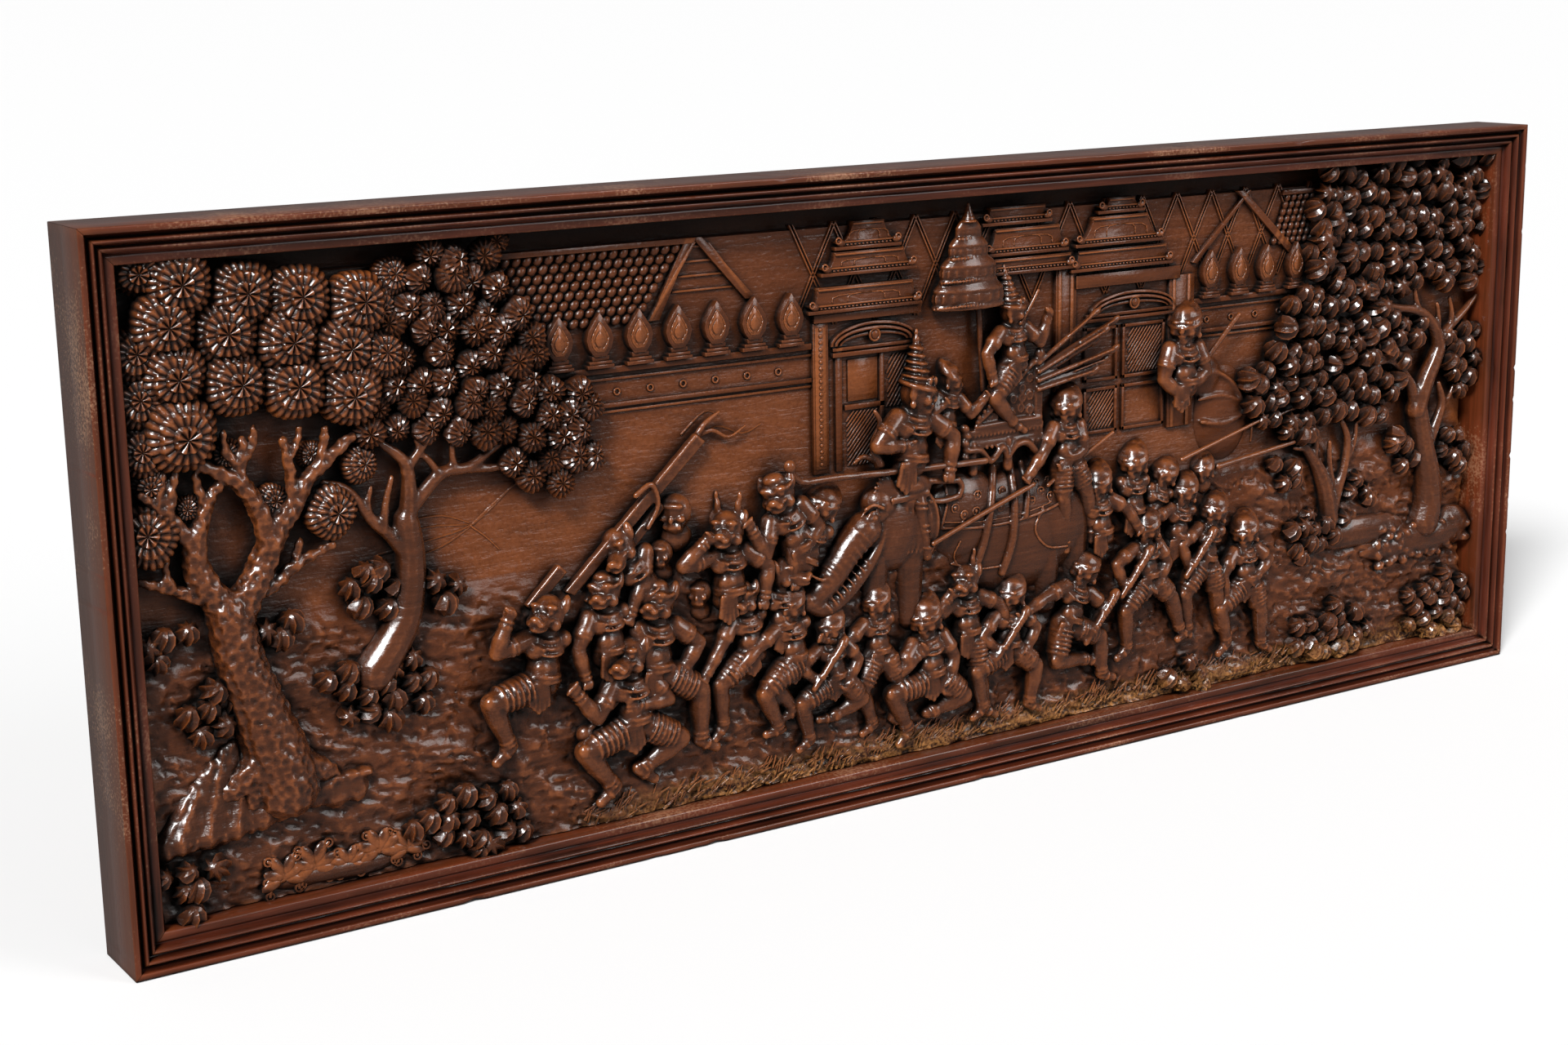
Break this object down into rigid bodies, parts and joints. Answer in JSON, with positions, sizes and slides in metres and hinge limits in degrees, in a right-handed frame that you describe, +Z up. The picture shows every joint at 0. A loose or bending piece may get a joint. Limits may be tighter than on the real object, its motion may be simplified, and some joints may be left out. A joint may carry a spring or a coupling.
{
  "type": "carved wall panel",
  "caption": "Wide deep-relief carved hardwood wall panel, with trees, a procession and an elephant, in a moulded mitred frame.",
  "frame": {"origin": "the middle of the flat back of the panel, where it meets the wall", "axes": "+X along the panel to the viewer's right, +Y into the wall, +Z up; the carved front faces -Y"},
  "size_m": [2, 0.09, 0.75],
  "materials": {
    "frame_wood": "dark reddish-brown stained hardwood under a satin-gloss varnish, worn on its edges",
    "carved_wood": "stained and varnished carved teak, dark in its hollows and orange-brown where it is rubbed"
  },
  "bodies": {
    "root": {"frame_top_rail": "frame_wood", "frame_bottom_rail": "frame_wood", "frame_right_stile": "frame_wood", "frame_left_stile": "frame_wood", "carved_panel": "carved_wood"}
  },
  "joints": []
}
